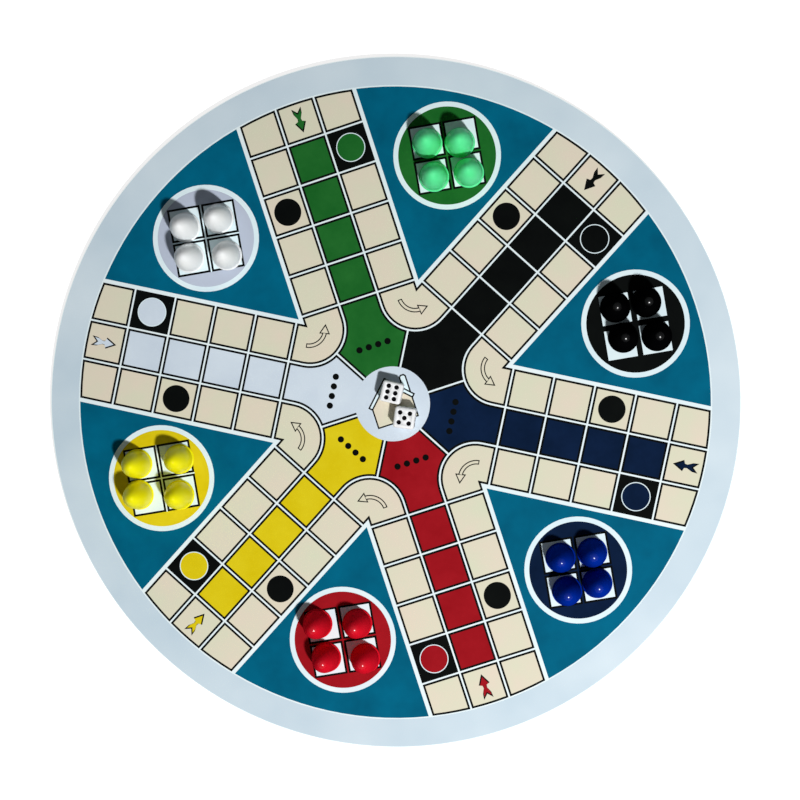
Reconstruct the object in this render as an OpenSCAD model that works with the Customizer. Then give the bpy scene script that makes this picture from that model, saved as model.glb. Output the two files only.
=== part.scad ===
// Round six-player race-game board, with its pawns and dice standing on it.
// Millimetres. The origin is the middle of the board's underside, +Z is up,
// and the green player's arm runs along +Y.

/* [Board] */
// Outside diameter of the round board
board_d = 350; // [336:1:420]
// Thickness of the hardboard core
core_t = 3; // [2:0.5:6]
// Thickness of the printed face sheet
face_t = 0.3; // [0.2:0.05:0.6]
// Thickness of the plain back sheet
back_t = 0.3; // [0.2:0.05:0.6]
// Bare edge that the printing leaves round the face sheet
bare_edge = 0.4; // [0.2:0.1:1.5]
// Thickness of one film of printing ink
ink_t = 0.04; // [0.03:0.01:0.06]

/* [Playing field] */
// Width of the plain border round the field
border_w = 15; // [10:0.5:20]
// White line left round the field
field_line = 0.7; // [0.4:0.1:1.5]
// Squares along an arm, not counting the turn square
rows = 5; // [4:1:5]
// Length of an arm's outermost square, up to the round edge of the field
last_row = 19.8; // [17:0.2:24]
// Width that one square and its gap take across an arm
col_pitch = 20.3; // [19:0.1:20.8]
// Distance from the middle to the first line across an arm
turn_row = 56.2; // [55:0.1:58]
// White gap between two squares
cell_gap = 0.9; // [0.6:0.1:1.6]
// Width of the black outline of a square
line_w = 1.05; // [0.6:0.05:1.2]
// Width of the black outline of an arrow
arrow_line = 0.55; // [0.4:0.05:0.7]
// Width of the white line between an arm and the ground beside it
arm_line = 2; // [1.5:0.1:3]
// Radius of the round inner side of a turn square
turn_r = 18; // [17:0.5:19]
// Diameter of the white disc in the middle
centre_d = 38; // [34:1:44]
// Diameter of the black dot that marks a safe square
safe_dot_d = 13.8; // [12:0.2:15]
// Diameter of the coloured disc on a start square
start_disc_d = 13.8; // [12:0.2:14.5]
// Width of the white ring round that disc
start_ring = 0.45; // [0.3:0.05:0.8]
// Diameter of a dot in a home area
home_dot_d = 3.2; // [2.4:0.2:4]
// Distance from one home dot to the next
home_dot_pitch = 5; // [4.4:0.2:5.6]
// Width of the walls of the little house drawn on the middle disc
house_w = 21.8; // [18:0.2:23]
// Height of its roof's ridge over the middle
house_h = 14; // [12:0.5:15]
// Thickness of its roof
roof_t = 2.6; // [2.2:0.1:3]
// How far the roof hangs over a wall
eaves = 1.6; // [1:0.1:2]
// Width of the house's black outline
house_line = 0.75; // [0.5:0.05:0.9]

/* [Yards] */
// How much farther out a yard lies than halfway from the arms to the rim
yard_out = 0.7; // [0:0.1:2]
// Width of the white ring round a yard
yard_ring = 2.5; // [2:0.1:3.5]
// How much wider a yard's square is than a pawn's foot, inside its outline
square_play = -0.5; // [-0.6:0.1:1]
// Gap between two squares of a yard
square_gap = 0.75; // [0.5:0.05:1.5]
// Least gap between a square's corner and the ring
corner_gap = 0.2; // [0.1:0.1:0.8]
// How far the squares are turned, anticlockwise from the green arm
yard_turn = -8.5; // [-20:0.5:20]

/* [Pawns] */
// Diameter of a pawn's foot
foot_d = 15.3; // [13:0.1:15.6]
// Height of a pawn
pawn_h = 24; // [20:0.5:28]
// Height of the foot's rounded rim
rim_h = 1.6; // [1.2:0.1:2.4]
// Step from the rim in to the foot of the dome
rim_step = 0.7; // [0.4:0.1:1.2]
// Wall of the hollow dome
pawn_wall = 1.1; // [0.9:0.1:1.3]

/* [Dice] */
// Edge of a die
die_edge = 10.6; // [10:0.1:12]
// Radius of a die's rounded edges
die_round = 1.3; // [0.8:0.1:1.6]
// Diameter of a pip
pip_d = 2.3; // [1.8:0.1:2.4]
// Depth of a pip's hollow
pip_depth = 0.5; // [0.4:0.05:0.6]
// Thickness of the paint in a pip
pip_paint = 0.2; // [0.1:0.05:0.3]
// Distance of a five's corner pips from the face's middle, each way
pip_pitch = 2.5; // [2.3:0.1:2.6]

/* [Hidden] */
$fn = 96;
players = ["green", "black", "blue", "red", "yellow", "white"];
arm_step = 360 / len(players);
half_step = arm_step / 2;
tiny = 0.01;
paint_play = 0.02;

board_r = board_d / 2;
field_r = board_r - border_w;
row_pitch = (field_r - last_row - turn_row) / (rows - 1);
z_core = back_t;
z_face = z_core + core_t;
z_print = z_face + face_t;
ink_films = 5;
z_play = z_print + ink_films * ink_t;

roof_lean = 45;
house_foot = -10;
chimney_w = 3.8;
chimney_drop = 1.2;
chimney_bevel = 1;
half_gap = cell_gap / 2;
half_col = col_pitch / 2;
arm_side = 1.5 * col_pitch;
lane_rim = arm_side - half_gap + arm_line;
turn_at = (turn_r + half_col) / sin(half_step);
turn_v = turn_at * sin(half_step);
turn_u = turn_at * cos(half_step);

square_w = foot_d + square_play;
square_out = square_w + 2 * line_w;
square_pitch = square_out + square_gap;
yard_in_r = (square_pitch + square_out) / sqrt(2) + corner_gap;
yard_r = yard_in_r + yard_ring;
yard_inmost = (lane_rim + yard_r) / sin(half_step);
yard_outmost = field_r - yard_r;
yard_place = (yard_inmost + yard_outmost) / 2 + yard_out;
cross_play = 0.05;

// How far the print sets each yard off its regular place
yard_shifts = [[2, 1], [2.5, 0.5], [0, 0.5], [1.5, 3], [2, 0.5], [-1, 0]];

// Where each pawn stands, off the middle of its own square
stands = [
    [[0.1, -1.1], [-1.4, -3.6], [0.6, -0.6], [0.6, -1.6]],
    [[0.1, 0.9], [-1.9, 0.9], [1.6, 2.9], [0.6, 0.9]],
    [[1.1, -1.1], [-0.4, -1.1], [1.6, -0.6], [-0.4, 0.9]],
    [[-2.4, 1.4], [0.1, -1.6], [-0.9, 1.4], [1.1, -2.1]],
    [[-1.9, 0.4], [2.1, -0.6], [-3.9, 2.4], [-0.9, -1.1]],
    [[-0.4, -1.6], [-0.4, -0.1], [-0.9, 0.4], [0.6, -1.6]],
];
corners = [[-0.5, 0.5], [0.5, 0.5], [-0.5, -0.5], [0.5, -0.5]];

// Place and turn of each die, and how it lies: turns about X and Y
dice = [
    [[2, 5.8], -31, [0, 0]],
    [[4.2, -8.4], -26, [0, 90]],
];

ink_green = [0.11, 0.42, 0.16];
ink_black = [0.04, 0.06, 0.07];
ink_navy = [0.05, 0.1, 0.27];
ink_red = [0.62, 0.07, 0.11];
ink_yellow = [0.87, 0.78, 0.08];
ink_pale = [0.81, 0.86, 0.91];
ink_white = [0.96, 0.97, 0.97];
ink_cream = [0.85, 0.81, 0.73];
ink_teal = [0, 0.4, 0.52];
ink_border = [0.76, 0.84, 0.89];
pawn_colours = [
    [0.3, 0.92, 0.55], [0.03, 0.03, 0.03], [0, 0.1, 0.55],
    [0.75, 0.02, 0.1], [0.94, 0.88, 0.1], [0.95, 0.97, 0.97],
];

pawn_names = [for (p = players, n = [1:4]) str("pawn_", p, "_", n)];

// Puts a flat shape on the sheet as one film of ink, on top of `level` others
module film(level) {
    translate([0, 0, z_print + level * ink_t]) linear_extrude(ink_t) children();
}

// Turns a shape drawn for the green arm to another player's arm
module at_arm(k) {
    rotate(-arm_step * k) children();
}

module at_each_arm() {
    for (k = [0:len(players) - 1]) at_arm(k) children();
}

// Turns a shape drawn along +Y to the line midway to the next arm
module at_midway(k) {
    rotate(-arm_step * k - half_step) children();
}

// One square of an arm, drawn in by `inset` from the middle of its gaps.
// Row 0 is next to the turn squares, and the last row ends on the circle.
module cell(row, col, inset) {
    low = turn_row + row * row_pitch + inset;
    high = row == rows - 1 ? field_r : turn_row + (row + 1) * row_pitch - inset;
    intersection() {
        translate([(col - 0.5) * col_pitch + inset, low])
            square([col_pitch - 2 * inset, high - low]);
        if (row == rows - 1) circle(field_r - (inset - half_gap));
    }
}

// The turn square between two arms, drawn in by `inset` in the same way,
// in the frame of the arm on its left
module turn_cell(inset) {
    side = arm_side - inset;
    half = [
        [turn_v, turn_u],
        [half_col + inset, turn_u],
        [half_col + inset, turn_row - inset],
        [side, turn_row - inset],
        [side, side / tan(half_step)],
    ];
    polygon(half);
    rotate(-arm_step) mirror([1, 0]) polygon(half);
    intersection() {
        translate([turn_v, turn_u]) circle(turn_r - inset);
        polygon([
            [turn_v, turn_u], [0, turn_u], [0, 0],
            [turn_u * sin(arm_step), turn_u * cos(arm_step)],
        ]);
    }
}

// A player's home area, from the turn squares in to the middle
module home_area(inset) {
    side = half_col - inset;
    flank = (turn_u - inset / sin(half_step)) * tan(half_step);
    difference() {
        polygon([
            [0, inset / sin(half_step)],
            [flank, turn_u], [side, turn_u], [side, turn_row - inset],
            [-side, turn_row - inset], [-side, turn_u], [-flank, turn_u],
        ]);
        for (s = [-1, 1]) translate([s * turn_v, turn_u]) circle(turn_r + inset);
    }
}

// The ground between two arms, drawn along +Y
module wedge() {
    tip = lane_rim / sin(half_step);
    reach = field_r * 1.2;
    intersection() {
        circle(field_r);
        polygon([
            [0, tip],
            [reach * tan(half_step), tip + reach],
            [-reach * tan(half_step), tip + reach],
        ]);
    }
}

// Arrow with a fish tail on an arm's outermost square, drawn in by `inset`
module tail_arrow(inset) {
    k = 1 - inset / 2.4;
    half = [[0, 4], [2.5, 6.6], [2.2, 3.6], [0.9, 0.9], [1.1, -0.5], [2.9, -1.2], [0, -6.4]];
    outer_u = turn_row + (rows - 0.5) * row_pitch;
    translate([0, outer_u]) polygon(concat(
        [for (p = half) [p.x * k, p.y * k]],
        [for (n = [len(half) - 2:-1:1]) [-half[n].x * k, half[n].y * k]]
    ));
}

// Curved arrow on a turn square, in the frame of the arm on its left
module turn_arrow(inset) {
    bend_r = turn_r * 0.46;
    band = 2.3;
    neck = 268;
    tail = 182;
    head_l = 4.8;
    head_w = 5.6;
    translate([turn_v, turn_u + 0.6]) {
        intersection() {
            difference() {
                circle(bend_r + band / 2 - inset);
                circle(bend_r - band / 2 + inset);
            }
            polygon([
                [0, 0],
                [2 * bend_r * cos(tail + inset * 6), 2 * bend_r * sin(tail + inset * 6)],
                [-2 * bend_r, -2 * bend_r],
                [2 * bend_r * cos(neck), 2 * bend_r * sin(neck)],
            ]);
        }
        translate([bend_r * cos(neck), bend_r * sin(neck)]) rotate(neck - 270 + 8) polygon([
            [inset - 0.3, head_w / 2 - inset * 1.6],
            [head_l - inset * 2.2, 0],
            [inset - 0.3, inset * 1.6 - head_w / 2],
        ]);
    }
}

// Puts a shape on the middle of a yard, turned to its squares
module at_yard(k) {
    translate(yard_shifts[k]) at_midway(k) translate([0, yard_place])
        rotate(arm_step * k + half_step + yard_turn) children();
}

// The squares of one yard, each drawn in by `inset` from its outline
module yard_squares(k, inset) {
    at_yard(k) for (c = corners) translate(c * square_pitch) square(square_out - 2 * inset, center = true);
}

// The cross between the squares of a yard
module yard_cross(k) {
    bar = square_gap - 2 * cross_play;
    at_yard(k) {
        square([square_pitch + square_out, bar], center = true);
        square([bar, square_pitch + square_out], center = true);
    }
}

module yard_disc(k, r) {
    at_yard(k) circle(r);
}

// Middle of an arm's square
function cell_middle(row, col) = [col * col_pitch, turn_row + (row + 0.5) * row_pitch];

// A plain little house on the middle disc. Its roof, walls and chimney are
// drawn in by `inset` from their outlines.
module house_roof(inset) {
    up = [-sin(roof_lean), cos(roof_lean)];
    over = [cos(roof_lean), sin(roof_lean)];
    end = [house_w / 2 + eaves, house_h - (house_w / 2 + eaves) / tan(roof_lean)];
    top_end = end + inset * (up - over);
    low_end = end + inset * up - (roof_t - inset) * over;
    for (s = [0, 1]) mirror([s, 0]) polygon([
        [0, house_h - inset / sin(roof_lean)], top_end, low_end,
        [0, house_h - (roof_t - inset) / sin(roof_lean)],
    ]);
}

module house_wall(inset) {
    w = house_w / 2 - inset;
    ridge = house_h - (roof_t - house_line + inset) / sin(roof_lean);
    polygon([
        [0, ridge], [w, ridge - w / tan(roof_lean)], [w, house_foot + inset],
        [-w, house_foot + inset], [-w, ridge - w / tan(roof_lean)],
    ]);
}

module house_chimney(inset) {
    left = house_w / 2 - chimney_w + inset;
    right = house_w / 2 - inset;
    top = house_h - chimney_drop - inset;
    bevel = chimney_bevel - inset * (2 - sqrt(2));
    polygon([
        [left, house_h - left / tan(roof_lean)],
        [left, top - bevel], [left + bevel, top],
        [right - bevel, top], [right, top - bevel],
        [right, house_h - right / tan(roof_lean)],
    ]);
}

// Everything of one player's colour, on its arm and in the yard on the
// arm's clockwise side
module player_print(k) {
    at_arm(k) {
        film(1) {
            for (row = [0:rows - 2]) cell(row, 0, half_gap + line_w);
            home_area(half_gap + line_w);
        }
        film(2) translate(cell_middle(rows - 2, 1)) circle(d = start_disc_d);
        film(3) tail_arrow(arrow_line);
    }
    film(2) yard_disc(k, yard_in_r);
}

// The core and both sheets are glued up first and cut round together, so
// their edges are flush
module board_core() {
    color("peru") translate([0, 0, z_core]) cylinder(h = core_t, r = board_r);
}

module face_sheet() {
    color(ink_white) translate([0, 0, z_face]) cylinder(h = face_t, r = board_r);
}

module back_sheet() {
    color("dimgray") cylinder(h = back_t, r = board_r);
}

module print_border() {
    color(ink_border) film(0) difference() {
        circle(board_r - bare_edge);
        circle(field_r + field_line);
    }
}

module print_teal() {
    color(ink_teal) film(0) for (k = [0:len(players) - 1]) at_midway(k) wedge();
}

// The outlines lie under the fills, as whole black shapes
module print_black() {
    color(ink_black) {
        film(0) at_each_arm() {
            for (row = [0:rows - 1], col = [-1:1]) cell(row, col, half_gap);
            turn_cell(half_gap);
            home_area(half_gap);
        }
        film(2) at_each_arm() {
            translate(cell_middle(rows - 3, -1)) circle(d = safe_dot_d);
            tail_arrow(0);
            turn_arrow(0);
            for (n = [-1.5:1:1.5]) translate([n * home_dot_pitch, centre_d / 2 + 12]) circle(d = home_dot_d);
        }
        film(2) at_arm(1) translate(cell_middle(rows - 2, 1)) circle(d = start_disc_d);
        film(2) yard_disc(1, yard_in_r);
        film(3) {
            for (k = [0:len(players) - 1]) yard_squares(k, 0);
            house_wall(0);
            house_roof(0);
            house_chimney(0);
        }
    }
}

module print_cream() {
    inset = half_gap + line_w;
    color(ink_cream) {
        film(1) at_each_arm() {
            for (row = [0:rows - 1], col = [-1, 1]) if (row != rows - 2 || col == -1) cell(row, col, inset);
            cell(rows - 1, 0, inset);
            turn_cell(inset);
        }
        film(3) at_each_arm() turn_arrow(arrow_line);
        film(4) house_wall(house_line);
    }
}

module print_white() {
    color(ink_white) {
        film(1) at_each_arm() translate(cell_middle(rows - 2, 1)) circle(d = start_disc_d + 2 * start_ring);
        film(1) for (k = [0:len(players) - 1]) yard_disc(k, yard_r);
        film(3) for (k = [4, 5]) yard_cross(k);
        film(4) {
            for (k = [0:len(players) - 1]) yard_squares(k, line_w);
            house_roof(house_line);
            house_chimney(house_line);
        }
    }
}

module print_pale() {
    color(ink_pale) {
        player_print(5);
        film(2) circle(d = centre_d);
    }
}

module print_green() {
    color(ink_green) player_print(0);
}

module print_navy() {
    color(ink_navy) player_print(2);
}

module print_red() {
    color(ink_red) player_print(3);
}

module print_yellow() {
    color(ink_yellow) player_print(4);
}

// Half of an egg's outline, from its widest point up to its top
function dome(r, low, high, steps = 12) = [
    for (n = [0:steps]) let (a = 90 * n / steps)
        [r * cos(a), low + (high - low) * sin(a)]
];

// A moulded pawn: a rounded rim round the foot and an egg-shaped hollow dome
module pawn(k, n) {
    foot_r = foot_d / 2;
    body_r = foot_r - rim_step;
    hollow_r = body_r - pawn_wall;
    place = corners[n] * square_pitch + stands[k][n];
    color(pawn_colours[k]) at_yard(k) translate([place.x, place.y, z_play]) difference() {
        rotate_extrude() union() {
            square([foot_r - rim_h / 2, rim_h]);
            translate([foot_r - rim_h / 2, rim_h / 2]) circle(d = rim_h, $fn = 32);
            polygon(concat([[0, rim_h / 2], [body_r, rim_h / 2]], dome(body_r, rim_h, pawn_h)));
        }
        translate([0, 0, -tiny]) rotate_extrude() polygon(concat(
            [[0, 0], [hollow_r, 0]],
            dome(hollow_r, rim_h, pawn_h - pawn_wall)
        ));
    }
}

// Square with round corners, for the three ways that a die is drawn through
module die_outline() {
    flat = die_edge - 2 * die_round;
    square([die_edge, flat], center = true);
    square([flat, die_edge], center = true);
    for (x = [-1, 1], y = [-1, 1]) translate([x, y] * flat / 2) circle(die_round, $fn = 32);
}

// Pips of each face: the turn that brings the face up, then where they sit
one = [[0, 0]];
two = [[-1, -1], [1, 1]];
three = concat(one, two);
four = concat(two, [[-1, 1], [1, -1]]);
five = concat(one, four);
six = [for (x = [-0.8, 0.8], y = [-1.2, 0, 1.2]) [x, y]];
faces = [
    [[0, 0], six], [[0, -90], five], [[90, 0], four],
    [[-90, 0], three], [[0, 90], two], [[180, 0], one],
];

module die_place(d) {
    translate([dice[d][0].x, dice[d][0].y, z_play + die_edge / 2]) rotate(dice[d][1])
        rotate([dice[d][2].x, dice[d][2].y, 0]) children();
}

module at_pips() {
    for (f = faces) rotate([f[0].x, f[0].y, 0])
        for (p = f[1]) translate([p.x * pip_pitch, p.y * pip_pitch, die_edge / 2]) children();
}

module die(d) {
    color("white") die_place(d) difference() {
        intersection() {
            translate([0, 0, -die_edge / 2]) linear_extrude(die_edge) die_outline();
            rotate([90, 0, 0]) translate([0, 0, -die_edge / 2]) linear_extrude(die_edge) die_outline();
            rotate([0, 90, 0]) translate([0, 0, -die_edge / 2]) linear_extrude(die_edge) die_outline();
        }
        at_pips() translate([0, 0, -pip_depth]) cylinder(d = pip_d, h = 2 * pip_depth, $fn = 24);
    }
}

module die_pips(d) {
    color(ink_black) die_place(d) at_pips()
        translate([0, 0, -pip_depth]) cylinder(d = pip_d - 2 * paint_play, h = pip_paint, $fn = 24);
}

board_core();
face_sheet();
back_sheet();
print_border();
print_teal();
print_black();
print_cream();
print_white();
print_pale();
print_green();
print_navy();
print_red();
print_yellow();
for (k = [0:len(players) - 1], n = [0:3])
    pawn(k, n);
for (d = [0:len(dice) - 1]) {
    die(d);
    die_pips(d);
}
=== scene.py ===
import math

import bmesh
import bpy
from mathutils import Matrix, Vector


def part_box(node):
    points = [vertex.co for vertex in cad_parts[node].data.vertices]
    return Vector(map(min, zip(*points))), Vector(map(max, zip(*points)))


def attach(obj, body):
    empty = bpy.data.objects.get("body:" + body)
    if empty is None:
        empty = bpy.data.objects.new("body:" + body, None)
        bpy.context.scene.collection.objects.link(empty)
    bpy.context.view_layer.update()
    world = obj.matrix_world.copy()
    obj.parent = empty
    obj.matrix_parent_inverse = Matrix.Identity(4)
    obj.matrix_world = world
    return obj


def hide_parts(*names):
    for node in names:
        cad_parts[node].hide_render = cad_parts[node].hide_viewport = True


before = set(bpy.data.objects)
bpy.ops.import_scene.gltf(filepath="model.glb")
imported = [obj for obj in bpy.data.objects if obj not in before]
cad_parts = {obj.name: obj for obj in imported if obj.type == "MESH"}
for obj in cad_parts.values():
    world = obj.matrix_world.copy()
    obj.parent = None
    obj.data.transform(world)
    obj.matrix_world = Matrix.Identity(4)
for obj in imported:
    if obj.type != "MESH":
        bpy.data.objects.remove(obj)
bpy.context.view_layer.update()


# ---------------------------------------------------------------------------
# View. The board is seen from almost straight above, from a little to its
# right, with the green player's arm leaning left of upright.
# ---------------------------------------------------------------------------
MM = 0.001
board_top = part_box("face_sheet")[1].z
play_top = min(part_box(name)[0].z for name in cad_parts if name.startswith("pawn_"))
camera_height = 1010 * MM
camera_place = Vector((73.4 * MM, 14.5 * MM, board_top + camera_height))
camera_aim = Vector((4.2 * MM, 0.7 * MM, board_top))
camera_roll = math.radians(-18.12)
back = (camera_place - camera_aim).normalized()
right = Vector((0, 1, 0)).cross(back).normalized()
level = Matrix((right, back.cross(right), back)).transposed()
eye = bpy.data.cameras.new("view")
eye.lens = 89.99
eye.sensor_width = 36
eye.clip_start = 0.01
camera = bpy.data.objects.new("view", eye)
camera.matrix_world = (
    Matrix.Translation(camera_place) @ level.to_4x4() @ Matrix.Rotation(camera_roll, 4, "Z")
)
bpy.context.scene.collection.objects.link(camera)
bpy.context.scene.camera = camera
bpy.context.scene.view_settings.view_transform = "Standard"


# ---------------------------------------------------------------------------
# Board core. A disc of pressed brown fibre, die-cut together with the sheets
# glued to it, so that it shows only round the rim, between the two.
# ---------------------------------------------------------------------------
class Num:
    """A number inside a finish. Arithmetic on it adds Math nodes."""

    def __init__(self, finish, socket):
        self.finish, self.socket = finish, socket

    def math(self, operation, *values):
        return self.finish.add("ShaderNodeMath", {"operation": operation}, *values)

    def __add__(self, other):
        return self.math("ADD", self, other)

    def __sub__(self, other):
        return self.math("SUBTRACT", self, other)

    def __rsub__(self, other):
        return self.math("SUBTRACT", other, self)

    def __mul__(self, other):
        return self.math("MULTIPLY", self, other)

    def clamp(self):
        return self.finish.add("ShaderNodeClamp", {}, self)

    __radd__ = __add__
    __rmul__ = __mul__


class Finish:
    """A material with one Principled shader, built up a node at a time."""

    def __init__(self, name, **plain):
        self.material = bpy.data.materials.new(name)
        self.material.use_nodes = True
        self.tree = self.material.node_tree
        self.shader = self.tree.nodes["Principled BSDF"]
        self.place = Num(self, self.tree.nodes.new("ShaderNodeTexCoord").outputs["Object"])
        for socket, value in plain.items():
            self.feed(socket.replace("_", " "), value)

    def feed(self, socket, value, node=None):
        """Gives a socket of the shader, or of `node`, a link or a plain value."""
        socket = (node or self.shader).inputs[socket]
        if isinstance(value, Num):
            self.tree.links.new(value.socket, socket)
        elif socket.type == "RGBA" and len(value) == 3:
            socket.default_value = (*value, 1)
        else:
            socket.default_value = value

    def add(self, kind, settings, *values, out=0, **named):
        """Adds a node, with its settings first and then what its sockets take."""
        node = self.tree.nodes.new(kind)
        for setting, value in settings.items():
            setattr(node, setting, value)
        for index, value in enumerate(values):
            self.feed(index, value, node)
        for socket, value in named.items():
            self.feed(socket.replace("_", " "), value, node)
        return Num(self, node.outputs[out])

    def noise(self, size, detail=2.0, roughness=0.5, stretch=None):
        """Cloudy noise from 0 to 1, whose lumps are about `size` metres across."""
        place = self.place
        if stretch:
            place = self.add("ShaderNodeMapping", {}, Vector=place, Scale=stretch)
        return self.add(
            "ShaderNodeTexNoise", {}, Vector=place, Scale=1 / size, Detail=detail, Roughness=roughness
        )

    def mix(self, amount, first, second):
        """Blends two colours, or a colour and a link, by `amount`."""
        node = self.tree.nodes.new("ShaderNodeMix")
        node.data_type = "RGBA"
        self.feed("Factor", amount, node)
        for index, colour in ((6, first), (7, second)):
            self.feed(index, colour, node)
        return Num(self, node.outputs[2])

    def bump(self, height, distance, strength=1.0):
        """Raises the surface by up to `distance` metres where `height` is 1."""
        relief = self.add("ShaderNodeBump", {}, Height=height, Distance=distance, Strength=strength)
        self.feed("Normal", relief)


def srgb(red, green, blue):
    """Turns screen values of 0 to 255 into the light values that a shader takes."""
    dark_end, dark_scale = 10, 3294.6
    return tuple(
        ((value / 255 + 0.055) / 1.055) ** 2.4 if value > dark_end else value / dark_scale
        for value in (red, green, blue)
    )


def finish_piece(mesh_builder, name, body, finish, slot, *replaced):
    """Makes a bmesh into a piece that rides on a body, in place of CAD nodes."""
    mesh = bpy.data.meshes.new(name)
    mesh_builder.to_mesh(mesh)
    mesh_builder.free()
    mesh.materials.append(finish.material)
    piece = bpy.data.objects.new(name, mesh)
    bpy.context.scene.collection.objects.link(piece)
    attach(piece, body)
    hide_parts(*replaced)
    return piece


corner_angle = math.radians(40)
join_reach = 1e-7


def turned(profile, steps):
    """Spins a profile of (radius, height) about Z into a closed skin, smooth but for its corners."""
    builder = bmesh.new()
    verts = [builder.verts.new((r, 0, z)) for r, z in profile]
    edges = [builder.edges.new(pair) for pair in zip(verts, verts[1:])]
    bmesh.ops.spin(
        builder, geom=verts + edges, cent=(0, 0, 0), axis=(0, 0, 1), dvec=(0, 0, 0),
        angle=math.tau, steps=steps, use_merge=True,
    )
    bmesh.ops.remove_doubles(builder, verts=builder.verts, dist=join_reach)
    bmesh.ops.recalc_face_normals(builder, faces=builder.faces)
    for face in builder.faces:
        face.smooth = True
    for edge in builder.edges:
        edge.smooth = edge.calc_face_angle(0) < corner_angle
    return builder


def arc(centre_r, centre_z, radius, start, end, steps):
    """Points of a round stretch of a profile, with its angles in degrees."""
    return [
        (
            centre_r + radius * math.cos(math.radians(start + (end - start) * n / steps)),
            centre_z + radius * math.sin(math.radians(start + (end - start) * n / steps)),
        )
        for n in range(steps + 1)
    ]


rim_steps = 360


def disc(node):
    """A flat disc as wide and as thick as a CAD node that is centred on Z."""
    low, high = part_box(node)
    return turned([(0, low.z), (high.x, low.z), (high.x, high.z), (0, high.z)], rim_steps)


hardboard = Finish("hardboard", Roughness=0.82)
fibres = hardboard.noise(0.5 * MM, 6, 0.65, stretch=(1, 1, 3))
blotches = hardboard.noise(9 * MM)
hardboard.feed("Base Color", hardboard.mix(
    blotches, hardboard.mix(fibres, srgb(92, 62, 40), srgb(158, 118, 82)), srgb(122, 88, 60),
))
hardboard.bump(fibres, 0.15 * MM)
finish_piece(disc("board_core"), "core_panel", "board", hardboard, "hardboard", "board_core")


# ---------------------------------------------------------------------------
# Back sheet. Plain dark paper glued all over the underside, with the faint
# grain of uncoated stock.
# ---------------------------------------------------------------------------
back_paper = Finish("back_paper", Roughness=0.7)
back_grain = back_paper.noise(0.35 * MM, 4, 0.7)
back_paper.feed("Base Color", back_paper.mix(
    back_paper.noise(30 * MM, 3) * 0.5 + back_grain * 0.5, srgb(40, 42, 45), srgb(66, 68, 71),
))
back_paper.bump(back_grain, 0.04 * MM)
finish_piece(disc("back_sheet"), "back_paper_disc", "board", back_paper, "back_paper", "back_sheet")


# ---------------------------------------------------------------------------
# Face sheet. White paper under a clear laminate. It shows as the white lines
# that the print leaves open.
# ---------------------------------------------------------------------------
# Width of the soft edge of a round area of painted shade.
shade_edge_fade = 1 * MM


def laminated(name, first, second, size, painted_shade=None):
    """Printed paper under clear laminate: two close shades in soft clouds. The last argument is an optional
    round area of painted shade, as its centre, radius and colour."""
    print_finish = Finish(name, Roughness=0.6, Specular_IOR_Level=0.02)
    clouds = ((print_finish.noise(size, 3, 0.6) - 0.5) * 2 + 0.5).clamp()
    shade = print_finish.mix(clouds, first, second)
    # Blends in the round area of painted shade, if there is one.
    if painted_shade:
        centre, radius, colour = painted_shade
        reach = print_finish.add(
            "ShaderNodeVectorMath", {"operation": "DISTANCE"}, print_finish.place, centre, out=1
        )
        inside = ((radius - reach) * (1 / shade_edge_fade)).clamp()
        shade = print_finish.mix(inside, shade, colour)
    print_finish.feed("Base Color", shade)
    print_finish.bump(print_finish.noise(1.1 * MM, 2), 0.02 * MM, 0.4)
    return print_finish


face_paper = laminated("face_paper", srgb(228, 244, 249), srgb(244, 254, 255), 40 * MM)
finish_piece(disc("face_sheet"), "face_paper_disc", "board", face_paper, "face_paper", "face_sheet")


# ---------------------------------------------------------------------------
# Print. Each ink is one film on the face sheet: the outlines lie under the
# fills, so that they show as fine black lines round every square.
# ---------------------------------------------------------------------------
inks = {
    "print_border": ("ink_border", srgb(196, 215, 227), srgb(219, 233, 241), 60 * MM),
    "print_teal": ("ink_teal", srgb(0, 87, 116), srgb(0, 106, 138), 22 * MM),
    "print_black": ("ink_black", srgb(7, 9, 9), srgb(12, 15, 14), 12 * MM),
    "print_cream": ("ink_cream", srgb(232, 217, 198), srgb(220, 223, 195), 24 * MM),
    "print_white": ("ink_white", srgb(220, 241, 249), srgb(238, 252, 254), 20 * MM),
    "print_pale": ("ink_pale", srgb(204, 217, 231), srgb(220, 232, 242), 30 * MM),
    "print_green": ("ink_green", srgb(24, 98, 36), srgb(38, 112, 46), 14 * MM),
    "print_navy": ("ink_navy", srgb(6, 24, 50), srgb(13, 34, 67), 14 * MM),
    "print_red": ("ink_red", srgb(148, 14, 24), srgb(166, 24, 34), 14 * MM),
    "print_yellow": ("ink_yellow", srgb(220, 196, 12), srgb(230, 210, 32), 14 * MM),
}
# Painted shade: the pale ink is drawn greyer within a round area over the yard of the white pawns, standing
# in for the dimmer light on that side of the board.
yard_corners = [corner for number in range(1, 5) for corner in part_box(f"pawn_white_{number}")]
yard_middle = sum(yard_corners, Vector()) / len(yard_corners)
yard_middle.z = board_top
yard_reach = 31 * MM
painted_shade_areas = {"print_pale": (yard_middle, yard_reach, srgb(190, 199, 216))}
for node, (slot, first, second, size) in inks.items():
    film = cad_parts[node]
    film.data.materials.clear()
    film.data.materials.append(laminated(slot, first, second, size, painted_shade_areas.get(node)).material)


# ---------------------------------------------------------------------------
# Pawns. Thin plastic mouldings, open underneath: a rounded rim round the foot,
# and a tall egg-shaped dome on it.
# ---------------------------------------------------------------------------
pawn_low, pawn_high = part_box("pawn_green_1")
foot_r = (pawn_high.x - pawn_low.x) / 2
pawn_h = pawn_high.z - pawn_low.z
rim_h = 1.6 * MM
rim_step = 0.7 * MM
wall = 1.1 * MM
body_r = foot_r - rim_step
polish_low = pawn_low.z + 0.95 * pawn_h
polish_high = pawn_low.z + 0.995 * pawn_h
pawn_steps = 72


def dome(radius, low, high, steps=24):
    """Half an egg's outline, from its widest point up to its top."""
    return [
        (radius * math.cos(math.pi / 2 * n / steps), low + (high - low) * math.sin(math.pi / 2 * n / steps))
        for n in range(steps + 1)
    ]


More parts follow.
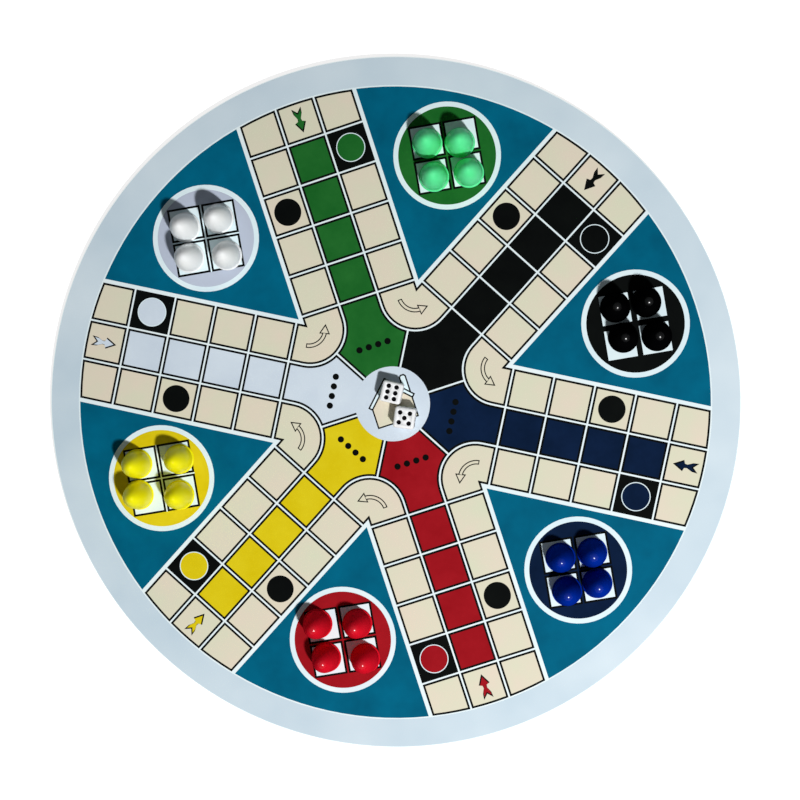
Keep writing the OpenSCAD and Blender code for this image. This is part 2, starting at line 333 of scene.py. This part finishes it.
pawn_profile = [
    *reversed(dome(body_r - wall, rim_h, pawn_h - wall)),
    (body_r - wall, 0),
    *arc(foot_r - rim_h / 2, rim_h / 2, rim_h / 2, -90, 90, 10),
    *dome(body_r, rim_h, pawn_h),
]


bleed_depth = 1.5 * MM


def plastic(name, dark, light, bleed=0.0, gloss=0.1, polish=0.0):
    """Satin moulded plastic, with faint flow clouds. `bleed` is how much light it lets in, and
    `polish` is how glossy the tip of a pawn is."""
    moulded = Finish(
        name, Specular_IOR_Level=gloss, Subsurface_Weight=bleed, Subsurface_Scale=bleed_depth,
        Subsurface_Radius=(1.0, 1.0, 1.0), Coat_Roughness=0.28, Coat_IOR=2.0,
    )
    flow = moulded.noise(5 * MM, 3)
    moulded.feed("Base Color", moulded.mix(flow, dark, light))
    moulded.feed("Roughness", flow * 0.08 + 0.3)
    if polish:
        height = moulded.add("ShaderNodeSeparateXYZ", {}, moulded.place, out=2)
        tip = ((height - polish_low) * (1 / (polish_high - polish_low))).clamp()
        moulded.feed("Coat Weight", tip * polish)
    moulded.bump(moulded.noise(1.6 * MM, 2), 0.02 * MM, 0.3)
    return moulded


pawn_plastics = {
    "green": plastic("green_plastic", srgb(86, 242, 150), srgb(108, 252, 170), 0.35),
    "black": plastic("black_plastic", srgb(2, 2, 3), srgb(6, 6, 7), gloss=0, polish=0.75),
    "blue": plastic("blue_plastic", srgb(0, 32, 134), srgb(3, 46, 160), gloss=0, polish=0.75),
    "red": plastic("red_plastic", srgb(206, 14, 32), srgb(224, 24, 46), gloss=0, polish=0.75),
    "yellow": plastic("yellow_plastic", srgb(250, 238, 6), srgb(254, 247, 20), 0.3),
    "white": plastic("white_plastic", srgb(250, 254, 254), srgb(254, 255, 255), 0.3),
}
for colour, moulded in pawn_plastics.items():
    for number in range(1, 5):
        node = f"pawn_{colour}_{number}"
        low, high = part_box(node)
        pawn = turned(pawn_profile, pawn_steps)
        bmesh.ops.translate(pawn, verts=pawn.verts, vec=((low.x + high.x) / 2, (low.y + high.y) / 2, low.z))
        finish_piece(pawn, f"{colour}_pawn_{number}", node, moulded, f"{colour}_plastic", node)


# ---------------------------------------------------------------------------
# Dice. White plastic cubes with tumbled, rounded edges. Each pip is a round
# dimple with a drop of black paint in it.
# ---------------------------------------------------------------------------
die_edge = 10.6 * MM
die_round = 1.3 * MM
pip_r = 1.15 * MM
pip_depth = 0.5 * MM
pip_pitch = 2.5 * MM
paint_t = 0.12 * MM
paint_gap = 0.01 * MM
# For each die: its place, its turn about Z, and its turns about X and Y, in degrees.
dice = {1: (Vector((2 * MM, 5.8 * MM)), -31, (0, 0)), 2: (Vector((4.2 * MM, -8.4 * MM)), -26, (0, 90))}
# Pip places on a face, in pitches from its middle. A six's two rows are longer and closer together.
six_across, six_along = 0.8, 1.2
ONE = [(0, 0)]
TWO = [(-1, -1), (1, 1)]
FOUR = TWO + [(-1, 1), (1, -1)]
SIX = [(x, y) for x in (-six_across, six_across) for y in (-six_along, 0, six_along)]
# For each face: its turns about X and Y from the top, and its pips.
faces = [
    ((0, 0), SIX), ((0, -90), ONE + FOUR), ((90, 0), FOUR),
    ((-90, 0), ONE + TWO), ((0, 90), TWO), ((180, 0), ONE),
]


def turn(x, y, z):
    """Turns about X, then Y, then Z, in degrees."""
    return (
        Matrix.Rotation(math.radians(z), 4, "Z")
        @ Matrix.Rotation(math.radians(y), 4, "Y")
        @ Matrix.Rotation(math.radians(x), 4, "X")
    )


def pip_places():
    """A transform to the middle of each pip, with Z out of its face."""
    for (x, y), pips in faces:
        for across, along in pips:
            yield turn(x, y, 0) @ Matrix.Translation((across * pip_pitch, along * pip_pitch, die_edge / 2))


dimple_r = (pip_r ** 2 + pip_depth ** 2) / (2 * pip_depth)


def dimple_cap(radius, sink, steps=8):
    """Profile of a round dimple's floor, from its middle out to its lip."""
    reach = math.degrees(math.asin(pip_r / radius))
    return arc(0, radius - sink, radius, -90, -90 + reach, steps)


ivory = plastic("die_plastic", srgb(240, 242, 244), srgb(252, 252, 252), 0.1, gloss=0.2)
pip_paint = Finish("pip_paint", Roughness=0.6, Specular_IOR_Level=0.05)
pip_paint.feed("Base Color", pip_paint.mix(pip_paint.noise(1 * MM), srgb(3, 3, 5), srgb(8, 8, 12)))
for number, (place, spin, lie) in dice.items():
    stand = Matrix.Translation((place.x, place.y, play_top + die_edge / 2)) @ turn(0, 0, spin) @ turn(*lie, 0)
    cube = bmesh.new()
    bmesh.ops.create_cube(cube, size=die_edge)
    bmesh.ops.bevel(
        cube, geom=cube.edges[:] + cube.verts[:], offset=die_round, segments=6, profile=0.5,
        affect="EDGES", material=-1,
    )
    for face in cube.faces:
        face.smooth = True
    drills = bmesh.new()
    paint = bmesh.new()
    for at in pip_places():
        bmesh.ops.create_uvsphere(
            drills, u_segments=32, v_segments=24, radius=dimple_r,
            matrix=at @ Matrix.Translation((0, 0, dimple_r - pip_depth)),
        )
        drop = turned([*dimple_cap(dimple_r, pip_depth - paint_gap), (0, -pip_depth + paint_t)], 28)
        bmesh.ops.transform(drop, matrix=at, verts=drop.verts)
        scratch = bpy.data.meshes.new("drop")
        drop.to_mesh(scratch)
        drop.free()
        paint.from_mesh(scratch)
        bpy.data.meshes.remove(scratch)
    for builder in (cube, drills, paint):
        bmesh.ops.transform(builder, matrix=stand, verts=builder.verts)
    die = finish_piece(cube, f"ivory_die_{number}", f"die_{number}", ivory, "die_plastic", f"die_{number}")
    cutter_mesh = bpy.data.meshes.new("drills")
    drills.to_mesh(cutter_mesh)
    drills.free()
    cutter = bpy.data.objects.new("drills", cutter_mesh)
    bpy.context.scene.collection.objects.link(cutter)
    dimples = die.modifiers.new("dimples", "BOOLEAN")
    dimples.operation, dimples.solver, dimples.object = "DIFFERENCE", "EXACT", cutter
    bpy.context.view_layer.update()
    cut = bpy.data.meshes.new_from_object(die.evaluated_get(bpy.context.evaluated_depsgraph_get()))
    die.modifiers.clear()
    die.data = cut
    bpy.data.objects.remove(cutter)
    finish_piece(paint, f"pip_paint_{number}", f"die_{number}", pip_paint, "pip_paint", f"die_{number}_pips")


# ---------------------------------------------------------------------------
# Studio. A white table, one fairly small lamp, high at the lower right, that
# draws the pawns' crisp shadows, and a weak pale sky.
# ---------------------------------------------------------------------------
floor_finish = Finish("studio_floor", Base_Color=(0.9, 0.9, 0.9), Roughness=0.9)
seen = floor_finish.tree.nodes.new("ShaderNodeLightPath")
white = Num(floor_finish, seen.outputs["Is Camera Ray"])
floor_finish.feed("Emission Color", (1, 1, 1))
floor_finish.feed("Emission Strength", white * 0.8)
floor_reach = 3
floor = bmesh.new()
bmesh.ops.create_grid(floor, x_segments=1, y_segments=1, size=floor_reach)
floor_mesh = bpy.data.meshes.new("studio_floor")
floor.to_mesh(floor_mesh)
floor.free()
floor_mesh.materials.append(floor_finish.material)
floor_piece = bpy.data.objects.new("studio_floor", floor_mesh)
bpy.context.scene.collection.objects.link(floor_piece)

sky = bpy.data.worlds.new("studio")
bpy.context.scene.world = sky
sky.use_nodes = True
sky.node_tree.nodes["Background"].inputs["Color"].default_value = (0.93, 0.97, 1, 1)
sky.node_tree.nodes["Background"].inputs["Strength"].default_value = 0.10

# The lamp stands at an angle to the picture's right, anticlockwise, and at a height, in degrees.
picture_turn = 18.3
lamp_angle = math.radians(-53 - picture_turn)
lamp_height = math.radians(61)
lamp_distance = 1.2
lamp_place = lamp_distance * Vector((
    math.cos(lamp_height) * math.cos(lamp_angle),
    math.cos(lamp_height) * math.sin(lamp_angle),
    math.sin(lamp_height),
))
key = bpy.data.lights.new("key", "AREA")
key.size = 0.07
key.energy = 13.4
lamp = bpy.data.objects.new("key", key)
lamp.location = lamp_place
lamp.rotation_euler = lamp_place.to_track_quat("Z", "Y").to_euler()
bpy.context.scene.collection.objects.link(lamp)
